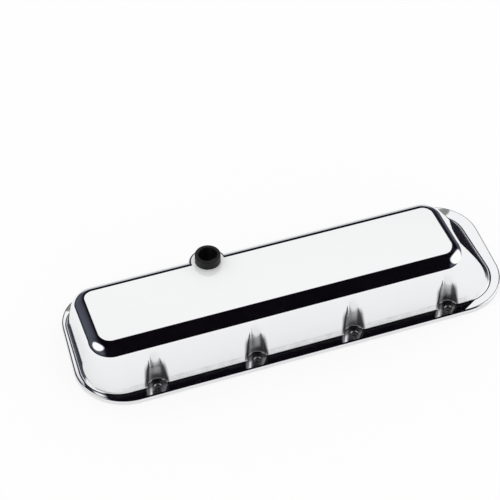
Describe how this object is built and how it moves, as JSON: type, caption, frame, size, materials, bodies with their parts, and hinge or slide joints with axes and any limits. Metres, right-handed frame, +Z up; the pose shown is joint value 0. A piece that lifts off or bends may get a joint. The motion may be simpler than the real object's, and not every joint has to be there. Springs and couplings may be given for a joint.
{
  "type": "engine valve cover",
  "caption": "Polished cast aluminium valve cover for a large V8, with a flat deck, a rubber breather grommet and an oil baffle inside.",
  "frame": {"origin": "middle of the gasket face, at the bottom of the part", "axes": "+X along the engine, away from the breather end; +Y from the exhaust rail to the intake rail; +Z up, out of the deck"},
  "size_m": [0.5476, 0.186, 0.0817],
  "materials": {
    "polished_aluminium": "mirror polished",
    "black_rubber": "matte",
    "sheet_steel": "plain pressed sheet",
    "screw_steel": "zinc plated"
  },
  "bodies": {
    "root": {"valve_cover": "polished_aluminium", "breather_grommet": "black_rubber", "oil_baffle": "sheet_steel", "baffle_screw_1": "screw_steel", "baffle_screw_2": "screw_steel", "baffle_screw_3": "screw_steel", "baffle_screw_4": "screw_steel"}
  },
  "joints": []
}
